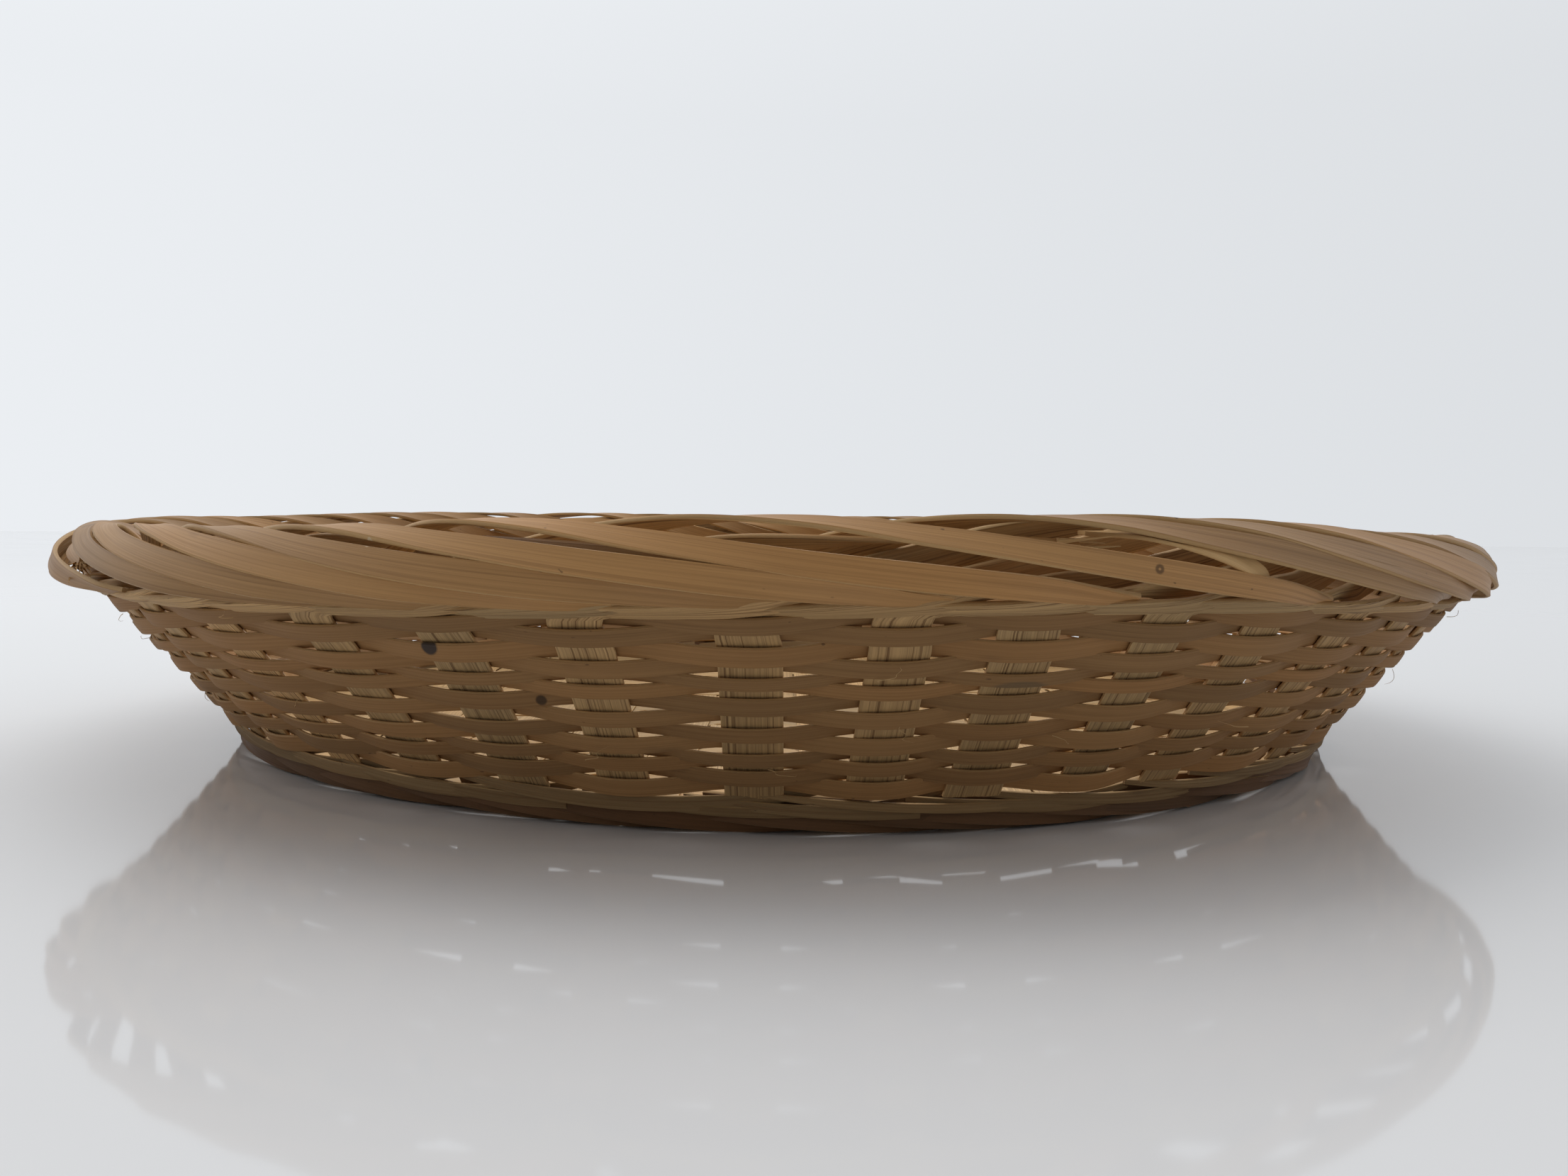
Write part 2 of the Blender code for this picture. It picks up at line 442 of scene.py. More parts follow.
def wander(chance, at, longest, waves=4):
    """Return a gentle irregular line between about -1 and 1, the same for the same chance."""
    total = np.zeros(len(at))
    for wave in range(waves):
        length = longest / (1.0 + wave * 0.83)
        total += np.sin(at * math.tau / length + chance.uniform(0, math.tau)) / (1.0 + wave)
    return total / 1.6


class StripPile:
    """Gathers flat strips into one mesh. Each strip has two broad faces, rounded edges and cut ends."""

    def __init__(self):
        self.points = []
        self.quads = []
        self.grain = []
        self.marks = []
        self.count = 0

    def add(self, left, right, thickness, chance, across=7, relief=0.0, crown=0.0, tone=None):
        """Add a strip between two edge lines; its first face looks to across x along."""
        shares = np.concatenate(([0.0], np.linspace(EDGE_START, 1.0 - EDGE_START, across - 2), [1.0]))
        middle_grid = left[:, None] + (right - left)[:, None] * shares[None, :, None]
        along = np.gradient(middle_grid, axis=0)
        normal = np.cross(np.broadcast_to((right - left)[:, None], along.shape), along)
        normal /= np.maximum(np.linalg.norm(normal, axis=2, keepdims=True), 1e-12)
        half = np.full(across, thickness / 2)
        half[0] = half[-1] = thickness * EDGE_HALF
        height = np.broadcast_to(half, middle_grid.shape[:2]).copy()
        centre_line = middle_grid[:, across // 2]
        gaps = np.linalg.norm(np.diff(centre_line, axis=0), axis=1)
        distance = np.concatenate(([0.0], np.cumsum(gaps)))
        bulge = crown * (1.0 - (2.0 * shares - 1.0) ** 2)
        fibres = np.zeros(middle_grid.shape[:2])
        if relief:
            for column in range(1, across - 1):
                level = chance.uniform(-1.0, 0.35)
                fibres[:, column] = relief * (level + 0.35 * wander(chance, distance, 0.03, 3))
        front = middle_grid + normal * (height + fibres + bulge)[..., None]
        back = middle_grid - normal * (height - bulge)[..., None]
        ring = np.concatenate((front, back[:, ::-1]), axis=1)
        rows, size = ring.shape[:2]
        cell = np.arange(rows * size).reshape(rows, size)
        beside = np.roll(cell, -1, axis=1)
        sides = np.stack((cell[:-1], beside[:-1], beside[1:], cell[1:]), axis=-1).reshape(-1, 4)
        near = np.arange(across - 1)
        start = np.stack((near, size - 1 - near, size - 2 - near, near + 1), axis=-1)
        end = (rows - 1) * size + start[:, ::-1]
        width = np.linalg.norm(right - left, axis=1)
        offsets = (shares - 0.5)[None, :] * width[:, None]
        seed = chance.uniform(0.0, 40.0)
        tone = chance.uniform(0.0, 1.0) if tone is None else tone
        both = np.concatenate((offsets, offsets[:, ::-1]), axis=1)
        face_seed = np.concatenate((np.full(across, seed), np.full(across, seed + 3.0)))
        grain = np.broadcast_arrays(distance[:, None], both, face_seed)
        edge_share = np.abs(2.0 * shares - 1.0)
        edge_both = np.concatenate((edge_share, edge_share[::-1]))
        face = np.concatenate((np.ones(across), np.zeros(across)))
        marks = np.broadcast_arrays(both, edge_both, face, tone)[1:]
        self.points.append(ring.reshape(-1, 3))
        self.quads.append(np.concatenate((sides, start, end)) + self.count)
        self.grain.append(np.stack(grain, axis=-1).reshape(-1, 3))
        self.marks.append(np.stack(marks, axis=-1).reshape(-1, 3))
        self.count += rows * size

    def make(self, name, material):
        """Make the object, with the grain's directions stored on its points."""
        if not self.points:
            raise RuntimeError(f"{name} has no strips")
        points = np.concatenate(self.points).astype(np.float32)
        quads = np.concatenate(self.quads).astype(np.int32)
        mesh = bpy.data.meshes.new(name)
        mesh.vertices.add(len(points))
        mesh.vertices.foreach_set("co", points.ravel())
        mesh.loops.add(quads.size)
        mesh.loops.foreach_set("vertex_index", quads.ravel())
        mesh.polygons.add(len(quads))
        mesh.polygons.foreach_set("loop_start", np.arange(0, quads.size, 4, dtype=np.int32))
        mesh.update(calc_edges=True)
        for label, values in (("grain", self.grain), ("marks", self.marks)):
            attribute = mesh.attributes.new(label, "FLOAT_VECTOR", "POINT")
            attribute.data.foreach_set("vector", np.concatenate(values).astype(np.float32).ravel())
        mesh.shade_smooth()
        mesh.set_sharp_from_angle(angle=SHARP_ANGLE)
        mesh.materials.append(material)
        piece = bpy.data.objects.new(name, mesh)
        bpy.context.scene.collection.objects.link(piece)
        return piece


def cylinder_edges(rows, sample_length):
    """Turn given edge pairs (angle, radius, height twice) into two smooth edge lines."""
    rows = np.asarray(rows, float)
    left = turned(rows[:, 0], rows[:, 1], rows[:, 2])
    right = turned(rows[:, 3], rows[:, 4], rows[:, 5])
    gaps = np.linalg.norm(np.diff((left + right) / 2, axis=0), axis=1)
    stations = np.concatenate(([0.0], np.cumsum(gaps)))
    count = max(8, int(stations[-1] / sample_length))
    at = np.linspace(0.0, stations[-1], count)
    line = smooth_through(stations, rows, at)
    return turned(line[:, 0], line[:, 1], line[:, 2]), turned(line[:, 3], line[:, 4], line[:, 5])


def edge_pair(angle, radius, height, facing, half):
    """Return a strand's lower and upper edge at one place, for a skin that faces so many degrees up."""
    aim = math.radians(facing) - math.pi / 2
    across, up = half * math.cos(aim), half * math.sin(aim)
    return angle, radius + across, height + up, angle, radius - across, height - up


def roll_rows(start_angle, width, late, sink, phase, last_step):
    """Return edge pairs for a strand that winds once round the rim roll."""
    rows = []
    for step, across, up, facing, share in RIM_WAY:
        if step > last_step:
            break
        settle = min(1.0, max(0.0, (step - 3.0) / 1.5))
        depth = 1.0 - sink * settle
        across = across * depth + 0.03 * math.sin(step * 1.3 + phase)
        up = up * depth + 0.04 * math.sin(step * 0.9 + phase * 2)
        radius = RIM_ROLL[0] + across * RIM_HALF_WIDTH
        height = RIM_ROLL[1] + up * RIM_HALF_HEIGHT
        angle = start_angle + (step + late * settle) * STEP
        rows.append(edge_pair(angle, radius, height, facing, width * share / 2))
    return rows


class Value:
    """A number in a shader; arithmetic on it adds Math nodes."""

    def __init__(self, shader, socket):
        self.shader = shader
        self.socket = socket

    def _math(self, operation, first, second, clamp=False):
        settings = {"operation": operation, "use_clamp": clamp}
        node = self.shader.add("ShaderNodeMath", settings, {0: first, 1: second})
        return Value(self.shader, node.outputs[0])

    def __add__(self, other):
        return self._math("ADD", self, other)

    def __radd__(self, other):
        return self._math("ADD", other, self)

    def __sub__(self, other):
        return self._math("SUBTRACT", self, other)

    def __rsub__(self, other):
        return self._math("SUBTRACT", other, self)

    def __mul__(self, other):
        return self._math("MULTIPLY", self, other)

    def __rmul__(self, other):
        return self._math("MULTIPLY", other, self)

    def clamped(self):
        return self._math("ADD", self, 0.0, clamp=True)

    def between(self, low, high):
        """Return 0 below low, 1 above high and a straight rise between."""
        return ((self - low) * (1.0 / (high - low))).clamped()


class Shader:
    """The nodes of a material or of the world."""

    def __init__(self, owner):
        owner.use_nodes = True
        self.tree = owner.node_tree

    def add(self, kind, settings=None, inputs=None):
        """Add a node: its settings first, then the values or links of its sockets."""
        node = self.tree.nodes.new(kind)
        for setting, value in (settings or {}).items():
            setattr(node, setting, value)
        for name, value in (inputs or {}).items():
            self.feed(node.inputs[name], value)
        return node

    def feed(self, socket, value):
        """Link or set one socket."""
        if isinstance(value, Value):
            value = value.socket
        if isinstance(value, bpy.types.NodeSocket):
            self.tree.links.new(value, socket)
        elif value is not None:
            socket.default_value = value

    def attribute(self, name):
        """Return a vector stored on the mesh."""
        node = self.add("ShaderNodeAttribute", {"attribute_type": "GEOMETRY", "attribute_name": name})
        return node.outputs["Vector"]

    def parts(self, vector):
        """Split a vector into three values."""
        node = self.add("ShaderNodeSeparateXYZ", None, {0: vector})
        return [Value(self, output) for output in node.outputs]

    def vector_math(self, operation, first, second=None):
        """Return the result of one operation on vectors."""
        node = self.add("ShaderNodeVectorMath", {"operation": operation}, {0: first, 1: second})
        return node.outputs["Value" if operation == "LENGTH" else "Vector"]

    def stretched(self, vector, scale):
        """Scale a vector along each of its directions."""
        return self.vector_math("MULTIPLY", vector, scale)

    def noise(self, vector, detail, roughness):
        """Return soft noise between 0 and 1."""
        inputs = {"Vector": vector, "Scale": 1.0, "Detail": detail, "Roughness": roughness}
        node = self.add("ShaderNodeTexNoise", {"noise_dimensions": "3D"}, inputs)
        return Value(self, node.outputs["Fac"])

    def mix(self, factor, first, second, blend="MIX"):
        """Mix two colours."""
        settings = {"data_type": "RGBA", "blend_type": blend, "clamp_factor": True}
        inputs = {MIX_FACTOR: factor, MIX_FIRST: first, MIX_SECOND: second}
        return self.add("ShaderNodeMix", settings, inputs).outputs[MIX_RESULT]

    def shaded(self, colour, shade):
        """Multiply a colour by a value."""
        grey = self.add("ShaderNodeCombineXYZ", None, {0: shade, 1: shade, 2: shade}).outputs[0]
        return self.mix(1.0, colour, grey, "MULTIPLY")


def opaque(colour, gain=1.0):
    """Return a colour with full alpha."""
    return (colour[0] * gain, colour[1] * gain, colour[2] * gain, 1.0)


def spot_at(degrees, radius, height):
    """Return a place by its degrees round from the front, radius and height in millimetres."""
    angle = math.radians(degrees - 90.0)
    return radius * math.cos(angle) / 1000, radius * math.sin(angle) / 1000, height / 1000


def bamboo(name, face, back, gloss, relief, marks=()):
    """Make split bamboo; each broad face has its colour, its dark grain and a share of dark lines."""
    material = bpy.data.materials.new(name)
    shader = Shader(material)
    colours = bpy.context.scene.basket_colours
    grain = shader.attribute("grain")
    edge, side, tone = shader.parts(shader.attribute("marks"))
    fibre = shader.noise(shader.stretched(grain, (22.0, 3300.0, 7.0)), 3.0, 0.62)
    hair = shader.noise(shader.stretched(grain, (55.0, 9500.0, 3.0)), 2.0, 0.6)
    cloud = shader.noise(shader.stretched(grain, (26.0, 150.0, 5.0)), 3.0, 0.55)
    drift = shader.noise(shader.stretched(grain, (7.0, 20.0, 9.0)), 1.0, 0.5)
    line = shader.noise(shader.stretched(grain, (9.0, 2600.0, 11.0)), 2.0, 0.55)
    speck = shader.noise(shader.stretched(grain, (620.0, 1100.0, 13.0)), 1.0, 0.4)
    stain = shader.noise(shader.stretched(grain, (48.0, 170.0, 17.0)), 2.0, 0.5)

    streak = line.between(0.52, 0.68)
    sides = []
    for pale, dark, lines in (back, face):
        dark_share = (fibre.between(0.36, 0.72) * 0.55 + streak * lines).clamped()
        sides.append(shader.mix(dark_share, opaque(pale), opaque(dark)))
    colour = shader.mix(side, *sides)
    shade = cloud * 0.34 + drift * 0.40 + tone * 0.34 + hair * 0.30 + 0.31
    colour = shader.shaded(colour, shade)
    warm = drift.between(0.42, 0.70) * 0.35
    colour = shader.mix(warm, colour, shader.mix(1.0, colour, (1.16, 0.95, 0.72, 1.0), "MULTIPLY"))
    pale_edge = edge.between(0.93, 1.0) * 0.60
    colour = shader.mix(pale_edge, colour, opaque(colours.pith, 1.15))
    stained = stain.between(0.70, 0.80) * 0.45 + speck.between(0.78, 0.82) * 0.55
    colour = shader.mix(stained, colour, opaque(colours.speck))

    place = shader.add("ShaderNodeTexCoord").outputs["Object"] if marks else None
    for centre, stretch, inner, outer, tint, strength in marks:
        away = shader.vector_math("SUBTRACT", place, spot_at(*centre))
        far = Value(shader, shader.vector_math("LENGTH", shader.stretched(away, stretch)))
        far = far + (cloud - 0.5) * (outer * 0.7)
        inside = 1.0 - far.between(outer * 0.75, outer)
        if inner:
            inside = inside * far.between(inner * 0.8, inner)
        colour = shader.mix(inside * strength, colour, opaque(getattr(colours, tint)))

    bump_height = fibre * 0.55 + hair * 0.25 + line * 0.35
    bump_inputs = {"Strength": relief, "Distance": 0.00012, "Height": bump_height}
    bump = shader.add("ShaderNodeBump", None, bump_inputs)
    surface = shader.tree.nodes["Principled BSDF"]
    shader.feed(surface.inputs["Base Color"], colour)
    shader.feed(surface.inputs["Roughness"], (fibre * 0.22 + side * 0.10 + gloss - 0.06).clamped())
    shader.feed(surface.inputs["Normal"], bump.outputs[0])
    surface.inputs["Specular IOR Level"].default_value = 0.28
    return material


def settings_in_use():
    """Return the sizes and colours in use."""
    scene = bpy.context.scene
    return scene.basket_sizes, scene.basket_colours


def weaver_heights():
    """Return the slope position of each turn at the front."""
    total = sum(WEAVER_RISES) / 1000
    heights = [rise_of(LAST_TURN) - total]
    for rise in WEAVER_RISES:
        heights.append(heights[-1] + rise / 1000)
    return np.array(heights)


def direction_at(count):
    """Return the weaver's direction after so many stakes, counted from the one at the back."""
    whole = np.arange(math.floor(count.min()) - 1, math.ceil(count.max()) + 3)
    places = [stake_direction(int(number) - HALF_TURN) for number in whole]
    return np.interp(count, whole, places)


class BASKET_OT_weavers(Operator):
    """Weave the strips over one stake and under the next, one piece for each turn"""

    bl_idname = "basket.weavers"
    bl_label = "Weave the rows"

    def execute(self, context):
        sizes, colours = settings_in_use()
        material = bamboo(
            "weaver_bamboo",
            face=(colours.weaver, colours.weaver_dark, 0.10),
            back=(colours.weaver, colours.weaver_dark, 0.25),
            gloss=0.50,
            relief=0.42,
            marks=WEAVER_MARKS,
        )
        heights = weaver_heights()
        turns = np.arange(ROWS)
        widths = np.array(WEAVER_WIDTHS) / 1000
        reach = (sizes.stake_thickness + sizes.weaver_thickness) / 2 + sizes.weaver_bow
        chance = random.Random(11)
        for row in range(ROWS):
            start = STAKES * row + row % 2
            end = STAKES * (row + 1) + (row + 1) % 2
            count = np.linspace(start + TURN_GAP, end - TURN_GAP, (end - start) * SAMPLES_IN_STEP)
            turn = (count - HALF_TURN) / STAKES
            rise = np.interp(turn, turns, heights)
            rise += np.where(turn > ROWS - 1, (turn - ROWS + 1) * WEAVER_RISES[-1] / 1000, 0.0)
            rise += np.where(turn < 0, turn * WEAVER_RISES[0] / 1000, 0.0)
            rise += 0.00016 * wander(chance, count, 6.1)
            width = np.interp(turn, turns, widths) * (1.0 + 0.05 * wander(chance, count, 9.3))
            side = -np.cos(math.pi * count)
            out = reach * side * (1.0 + 0.08 * wander(chance, count, 3.7))
            centre = wall_point(rise, out)
            tilt = sizes.weaver_tilt * (1.0 + 0.35 * wander(chance, count, 2.9))
            up = np.stack((np.sin(WALL_LEAN - tilt), np.cos(WALL_LEAN - tilt)), axis=-1)
            upper = centre + up * width[:, None] / 2
            lower = centre - up * width[:, None] / 2
            angle = direction_at(count)
            pile = StripPile()
            pile.add(
                settled(turned(angle, upper[:, 0], upper[:, 1])),
                settled(turned(angle, lower[:, 0], lower[:, 1])),
                sizes.weaver_thickness,
                chance,
                across=7,
                crown=0.00006,
            )
            piece = pile.make(f"weaver_strip_{row + 1:02d}", material)
            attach(piece, "root")
            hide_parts(ROW_NODES[row])
        return {"FINISHED"}


class BASKET_OT_stakes(Operator):
    """Stand the stakes and wind each upper end round the rim"""

    bl_idname = "basket.stakes"
    bl_label = "Stand the stakes"

    def execute(self, context):
        sizes, colours = settings_in_use()
        material = bamboo(
            "stake_bamboo",
            face=(colours.pith, colours.pith_dark, 0.75),
            back=(colours.skin, colours.skin_dark, 0.34),
            gloss=0.44,
            relief=0.60,
            marks=STAKE_MARKS,
        )
        weave_top = rise_of(STAKE_BEND)
        weave_foot = rise_of(STAKE_FOOT)
        for index in range(STAKES):
            place = from_front(index)
            chance = random.Random(300 + index)
            direction = stake_direction(index)
            half = sizes.stake_width * chance.uniform(0.92, 1.05) / 2
            rows = []
            for rise in np.linspace(weave_foot, weave_top, 7):
                radius, height = wall_point(rise, 0.0)
                spread = half / radius
                rows.append((direction - spread, radius, height, direction + spread, radius, height))
            widen = half / (BEND_SHARE * STEP * BEND_RADIUS)
            for left_step, left_rise, right_step, right_rise, out in BEND:
                bend_chance = chance.uniform(0.92, 1.10)
                left = wall_point(weave_top + left_rise * bend_chance / 1000, out / 1000)
                right = wall_point(weave_top + right_rise / 1000, out / 1000)
                left_angle = direction + left_step * STEP * (widen if left_step < 0 else 1.0)
                rows.append((left_angle, *left, direction + right_step * STEP, *right))
            common_lay = (
                chance.uniform(-0.22, 0.22),
                chance.choice((0.0, 0.02, 0.04, 0.30)),
                chance.uniform(0.88, 1.10),
            )
            late, sink, wide = ODD_STRANDS.get(place, common_lay)
            phase = chance.uniform(0, math.tau)
            width = sizes.rim_strip_width * wide
            last_step = CUT_STRANDS.get(place, RIM_WAY[-1][0])
            rows += roll_rows(direction, width, late, sink, phase, last_step)
            left, right = cylinder_edges(rows, sizes.sample_length)
            pile = StripPile()
            pile.add(settled(left), settled(right), sizes.stake_thickness, chance, across=19, relief=0.00007)
            piece = pile.make(f"stake_strip_{index + 1:02d}", material)
            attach(piece, "root")
            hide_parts(STAKE_NODES[index], "rim_border")
        return {"FINISHED"}


class BASKET_OT_foot(Operator):
    """Wind the foot strands under the wall"""

    bl_idname = "basket.foot"
    bl_label = "Wind the foot border"

    def execute(self, context):
        sizes, colours = settings_in_use()
        # The foot strands use the pith and the weaver's dark grain at half brightness, and the dark foot
        # colour. This is painted shade: it darkens the foot where the wall's overhang shades it.
        material = bamboo(
            "foot_bamboo",
            face=([channel * 0.5 for channel in colours.pith], colours.pith_dark, 0.35),
            back=(colours.foot, [channel * 0.5 for channel in colours.weaver_dark], 0.20),
            gloss=0.55,
            relief=0.50,
        )
        pile = StripPile()
        for index in range(STAKES):
            chance = random.Random(900 + index)
            direction = stake_direction(index)
            shift = chance.uniform(-0.3, 0.3)
            lean = chance.uniform(-0.0003, 0.0003)
            half = sizes.foot_strip_width * chance.uniform(0.85, 1.08) / 2
            rows = []
            for step, inside, height, facing, share in FOOT_WAY:
                angle = direction + (step + shift) * STEP
                radius = FOOT_HIGH.x + FOOT_REACH - inside / 1000 + lean
                rows.append(edge_pair(angle, radius, height / 1000, facing, half * share))
            left, right = cylinder_edges(rows, sizes.sample_length)
            lift = max(0.0, FLOOR_CLEARANCE - min(left[:, 2].min(), right[:, 2].min()))
            left[:, 2] += lift
            right[:, 2] += lift
            left, right = settled(left), settled(right)
            pile.add(left, right, FOOT_STRAND_THICKNESS, chance, across=9, relief=0.00002, crown=0.00008)
        for index in range(STAKES):
            chance = random.Random(1900 + index)
            direction = stake_direction(index)
            half = sizes.foot_strip_width * chance.uniform(0.55, 0.95) / 2
            drop = chance.uniform(-0.0007, 0.0006)
            reach = chance.uniform(0.80, 1.15)
            slant = chance.uniform(-0.0003, 0.0003)
            rows = []
            way = BINDER_WAY if chance.random() < 0.6 else BINDER_WAY[:-BINDER_CUT]
            for step, out, height, share in way:
                out -= BINDER_LEAN * step * reach
                angle = direction + step * reach * STEP
                radius, level = wall_point(rise_of(height / 1000 + drop + slant * step), out / 1000)
                rows.append(edge_pair(angle, radius, level, BINDER_FACING, half * share))
            left, right = cylinder_edges(rows, sizes.sample_length)
            pile.add(settled(right), settled(left), BINDER_THICKNESS, chance, across=13, relief=0.00007)
        piece = pile.make("foot_strands", material)
        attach(piece, "root")
        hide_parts("foot_border")
        return {"FINISHED"}


def mat_sign(numbers):
    """Return 1 where the lengthwise strip is on top, by the sum of the numbers of the two that cross."""
    return np.where(numbers % 4 < 2, 1.0, -1.0)


class BASKET_OT_base(Operator):
    """Weave the flat mat that closes the bottom"""

    bl_idname = "basket.base"
    bl_label = "Weave the base mat"

    def execute(self, context):
        sizes, colours = settings_in_use()
        material = bamboo(
            "base_bamboo",
            face=(colours.skin, colours.skin_dark, 0.20),
            back=(colours.pith, colours.pith_dark, 0.40),
            gloss=0.52,
            relief=0.45,
        )
        radius = BASE_HIGH.x + MAT_TUCK
        level = (BASE_LOW.z + BASE_HIGH.z) / 2
        pitch = sizes.base_strip_pitch
        reach = int(radius / pitch)
        chance = random.Random(55)
        for lengthwise in (True, False):
            pile = StripPile()
            for number in range(-reach, reach + 1):
                side = number * pitch + chance.uniform(-0.0002, 0.0002)
                half = sizes.base_strip_width * chance.uniform(0.95, 1.01) / 2
                reaches = [math.sqrt(max(radius**2 - edge**2, 1e-6)) for edge in (side + half, side - half)]
                at = np.linspace(-max(reaches), max(reaches), int(max(reaches) / MAT_SAMPLE))
                crossing = at / pitch
                whole = np.floor(crossing)
                blend = share_between(crossing - whole, *MAT_CHANGE)
                blend = blend * blend * (3.0 - 2.0 * blend)
                here, there = mat_sign(number + whole), mat_sign(number + whole + 1)
                wave = here + (there - here) * blend
                height = level + MAT_LIFT * wave * (1.0 if lengthwise else -1.0)
                bend = 0.0002 * wander(chance, at, 0.11)
                near_at, far_at = (np.clip(at, -limit, limit) + at * 0.001 for limit in reaches)
                near = side + bend + half
                far = side + bend - half
                if lengthwise:
                    left = np.stack((near_at, near, height), axis=-1)
                    right = np.stack((far_at, far, height), axis=-1)
                else:
                    left = np.stack((far, far_at, height), axis=-1)
                    right = np.stack((near, near_at, height), axis=-1)
                right, left = mat_settled(right, radius), mat_settled(left, radius)
                pile.add(right, left, MAT_THICKNESS, chance, across=9, relief=0.00002, crown=0.00004)
            piece = pile.make("base_strips_lengthwise" if lengthwise else "base_strips_crosswise", material)
            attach(piece, "root")
            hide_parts("base_mat")
        return {"FINISHED"}


class BASKET_OT_fibres(Operator):
    """Add the fine fibres that stand off the split edges"""

    bl_idname = "basket.fibres"
    bl_label = "Add loose fibres"

    def execute(self, context):
        sizes, colours = settings_in_use()
        material = bamboo(
            "fibre_bamboo",
            face=(colours.pith, colours.skin, 0.20),
            back=(colours.pith, colours.skin, 0.20),
            gloss=0.60,
            relief=0.10,
        )
        pile = StripPile()
        chance = random.Random(77)
        for _ in range(sizes.loose_fibres):
            direction = chance.uniform(0, math.tau)
            rise = rise_of(chance.uniform(0.008, 0.036))
            length = chance.uniform(0.003, 0.011)
            run = chance.uniform(-1.0, 1.0) * length
            climb = math.sqrt(max(length**2 - run**2, 0.0)) * chance.choice((-0.4, 0.5))
            stand = chance.uniform(0.0004, 0.0016)
            at = np.linspace(0.0, 1.0, 12)
            out = 0.0015 + stand * np.sin(at * math.pi * 0.8)
            place = wall_point(rise + climb * at, out)
            angle = direction + run * at / place[:, 0] + 0.01 * wander(chance, at, 1.7)
            line = turned(angle, place[:, 0], place[:, 1])
            half = np.array((0.0, 0.0, LOOSE_FIBRE[0])) * (1.2 - at)[:, None]
            pile.add(settled(line + half), settled(line - half), LOOSE_FIBRE[1], chance, across=3)
        for index, cut_step in CUT_STRANDS.items():
            end_step, end_across, end_up = [row[:3] for row in RIM_WAY if row[0] <= cut_step][-1]
            late = ODD_STRANDS[index][0]
            for _ in range(sizes.frayed_fibres):
                angle = stake_direction(index % STAKES) + (end_step + late - 0.15) * STEP
                at = np.linspace(0.0, 1.0, 10)
                spread = chance.uniform(-1.0, 1.0)
                length = chance.uniform(0.0035, 0.0085)
                sink = chance.uniform(-0.6, 1.6)
                radius = RIM_ROLL[0] + RIM_HALF_WIDTH * end_across * TORN_DEPTH + 0.0010 * spread
                radius = radius + 0.0018 * at * chance.uniform(-1.0, 1.0)
                height = RIM_ROLL[1] + RIM_HALF_HEIGHT * end_up * TORN_DEPTH
                height = height - 0.0011 * spread - 0.0016 * at * sink
                line = turned(angle + at * length / TORN_RADIUS, radius, height)
                half = np.array((0.0, 0.0, TORN_FIBRE[0])) * (1.3 - at)[:, None]
                pile.add(settled(line + half), settled(line - half), TORN_FIBRE[1], chance, across=3)
        short_rows = []
        for degrees, radius, height, facing, width in SHORT_STRAND:
            angle = math.radians(degrees - 90.0)
            short_rows.append(edge_pair(angle, radius / 1000, height / 1000, facing, width / 2000))
        left, right = cylinder_edges(short_rows, sizes.sample_length / 3)
        left, right = settled(left), settled(right)
        # tone=1.0 gives the short strand the lightest tone of all the strips. This is painted light: it
        # brightens the strand where the roll shades it.
        pile.add(left, right, SHORT_STRAND_THICKNESS, chance, across=15, relief=0.00012, tone=1.0)
        piece = pile.make("loose_fibres", material)
        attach(piece, "root")
        return {"FINISHED"}


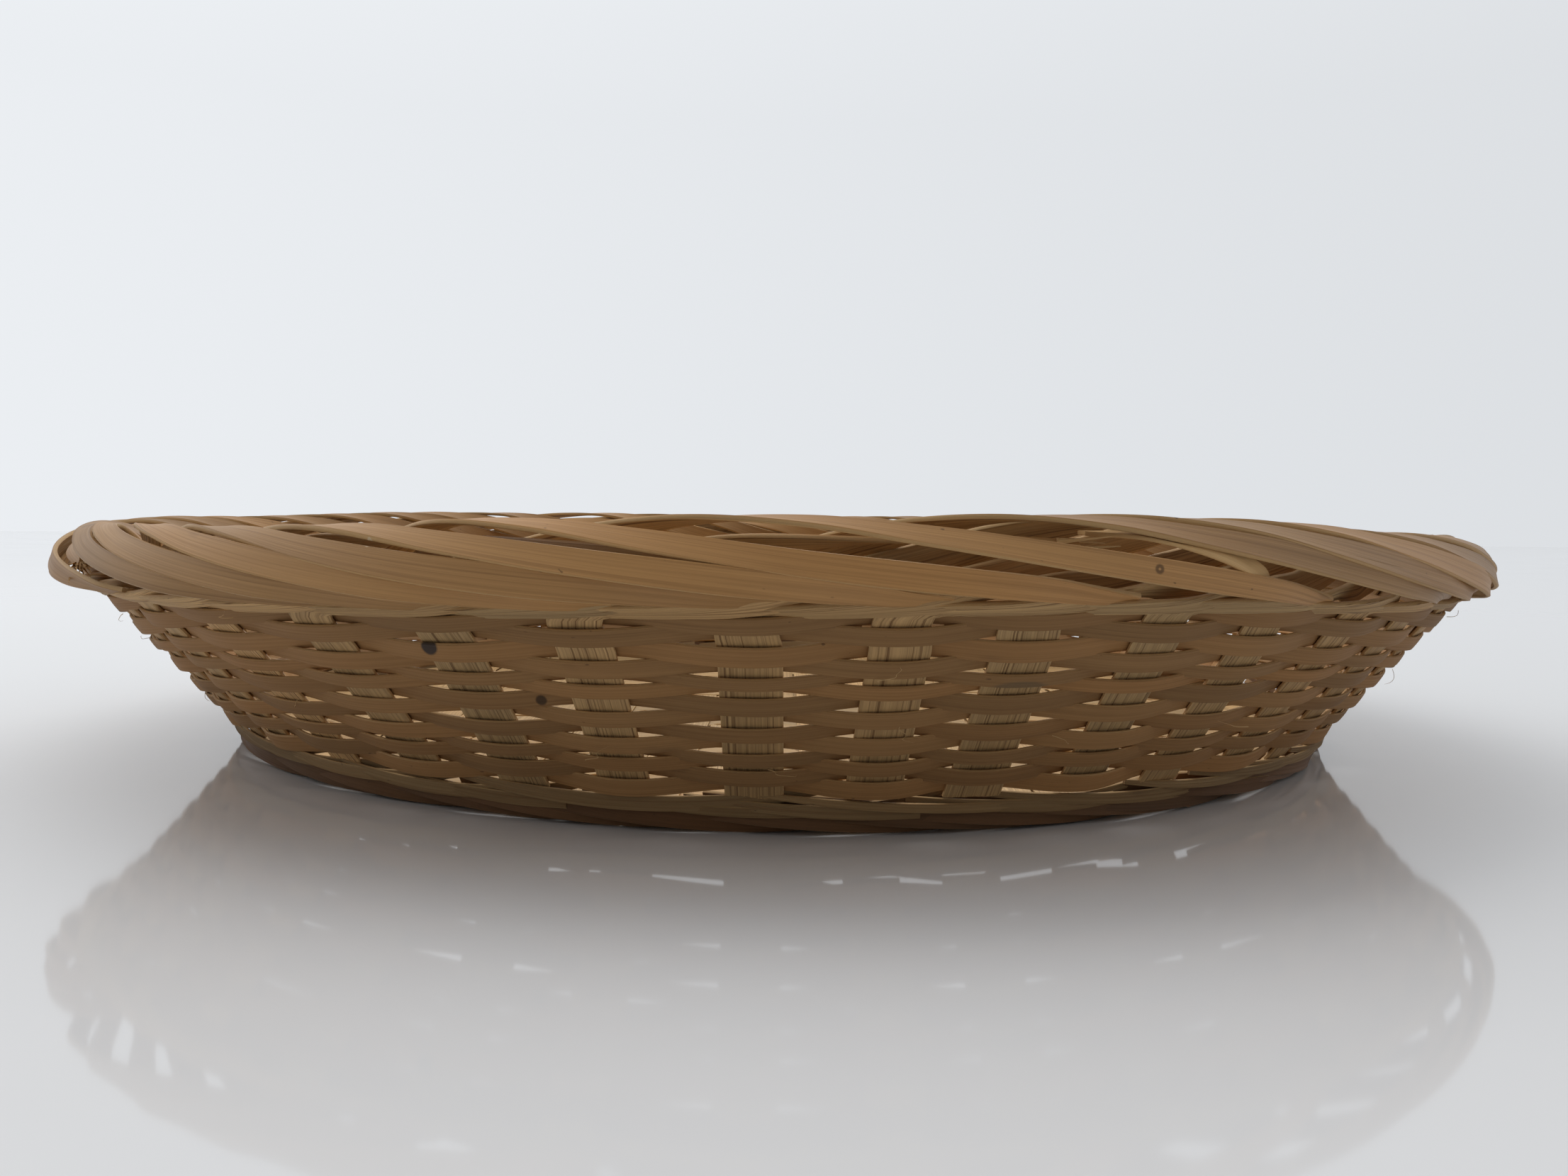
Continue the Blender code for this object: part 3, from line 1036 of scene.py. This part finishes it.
class BASKET_OT_stage(Operator):
    """Set the pale floor, the soft light and the camera"""

    bl_idname = "basket.stage"
    bl_label = "Set the stage"

    def execute(self, context):
        scene = context.scene
        colours = scene.basket_colours
        stage = scene.basket_stage
        scene.view_settings.view_transform = "Standard"
        bpy.ops.mesh.primitive_circle_add(
            vertices=96, radius=FLOOR_RADIUS, fill_type="NGON", location=(0, 0, 0)
        )
        floor = context.object
        floor.name = "floor"
        gloss = bpy.data.materials.new("floor_gloss")
        shader = Shader(gloss)
        surface = shader.tree.nodes["Principled BSDF"]
        place = shader.add("ShaderNodeTexCoord").outputs["Object"]
        smear = shader.noise(shader.stretched(place, (9.0, 9.0, 9.0)), 3.0, 0.6)
        surface.inputs["Base Color"].default_value = opaque(colours.floor)
        shader.feed(surface.inputs["Roughness"], smear * 0.05 + 0.035)
        surface.inputs["Specular IOR Level"].default_value = 0.36
        floor.data.materials.append(gloss)
        self.light(scene, stage, colours)
        self.camera(scene, stage)
        return {"FINISHED"}

    def light(self, scene, stage, colours):
        """Light the set with a soft surround, brighter behind and above than in front."""
        world = bpy.data.worlds.new("soft_surround")
        scene.world = world
        sky = Shader(world)
        across, back, up = sky.parts(sky.add("ShaderNodeTexCoord").outputs["Generated"])
        near, far = opaque(colours.near_surround), opaque(colours.far_surround)
        colour = sky.mix(back.between(-0.8, 0.5), near, far)
        overhead = up.between(0.30, 0.95)
        sides = (across * across).between(0.36, 0.95) * up.between(0.12, 0.40)
        strength = (across * -0.13 + 0.97) * (overhead * 0.25 + 1.0) * (sides * 1.1 + 1.0)
        sky.feed(sky.tree.nodes["Background"].inputs["Color"], sky.shaded(colour, strength))
        panel = bpy.data.lights.new("overhead_panel", "AREA")
        panel.shape = "RECTANGLE"
        panel.size, panel.size_y = PANEL_SIZE
        panel.energy = stage.overhead_power
        panel.color = (1.0, 0.97, 0.93)
        lamp = bpy.data.objects.new("overhead_panel", panel)
        lamp.visible_glossy = False
        lamp.location = PANEL_PLACE
        lamp.rotation_euler = (PANEL_AIM - lamp.location).to_track_quat("-Z", "Y").to_euler()
        scene.collection.objects.link(lamp)

    def camera(self, scene, stage):
        """Look at the basket from just under its rim."""
        lens = bpy.data.cameras.new("camera")
        lens.sensor_width = 36.0
        lens.lens = stage.lens
        lens.shift_y = stage.lens_shift
        lens.clip_start = 0.005
        camera = bpy.data.objects.new("camera", lens)
        camera.location = (stage.camera_side, -stage.camera_distance, stage.camera_height)
        camera.rotation_euler = Euler((math.pi / 2, 0.0, 0.0))
        camera.rotation_euler.rotate_axis("Z", stage.roll)
        scene.collection.objects.link(camera)
        scene.camera = camera


PIECE_OPERATORS = (BASKET_OT_weavers, BASKET_OT_stakes, BASKET_OT_foot, BASKET_OT_base, BASKET_OT_fibres)


class BASKET_PT_panel(Panel):
    """Sidebar panel that lists the basket's pieces and sizes"""

    bl_idname = "BASKET_PT_panel"
    bl_label = "Basket"
    bl_space_type = "VIEW_3D"
    bl_region_type = "UI"
    bl_category = "Basket"

    def draw(self, context):
        layout = self.layout
        scene = context.scene
        for settings in (scene.basket_sizes, scene.basket_colours, scene.basket_stage):
            box = layout.box()
            for name in settings.bl_rna.properties.keys():
                if name not in ("rna_type", "name"):
                    box.prop(settings, name)
        for operator in (*PIECE_OPERATORS, BASKET_OT_stage):
            layout.operator(operator.bl_idname)


CLASSES = (BasketSizes, BasketColours, StageSettings, *PIECE_OPERATORS, BASKET_OT_stage, BASKET_PT_panel)


def register():
    for cls in CLASSES:
        bpy.utils.register_class(cls)
    bpy.types.Scene.basket_sizes = PointerProperty(type=BasketSizes)
    bpy.types.Scene.basket_colours = PointerProperty(type=BasketColours)
    bpy.types.Scene.basket_stage = PointerProperty(type=StageSettings)


def unregister():
    del bpy.types.Scene.basket_stage
    del bpy.types.Scene.basket_colours
    del bpy.types.Scene.basket_sizes
    for cls in reversed(CLASSES):
        bpy.utils.unregister_class(cls)


def main():
    """Build the pieces."""
    register()
    bpy.ops.basket.stage()
    bpy.ops.basket.weavers()
    bpy.ops.basket.stakes()
    bpy.ops.basket.foot()
    bpy.ops.basket.base()
    bpy.ops.basket.fibres()


if __name__ == "__main__":
    main()
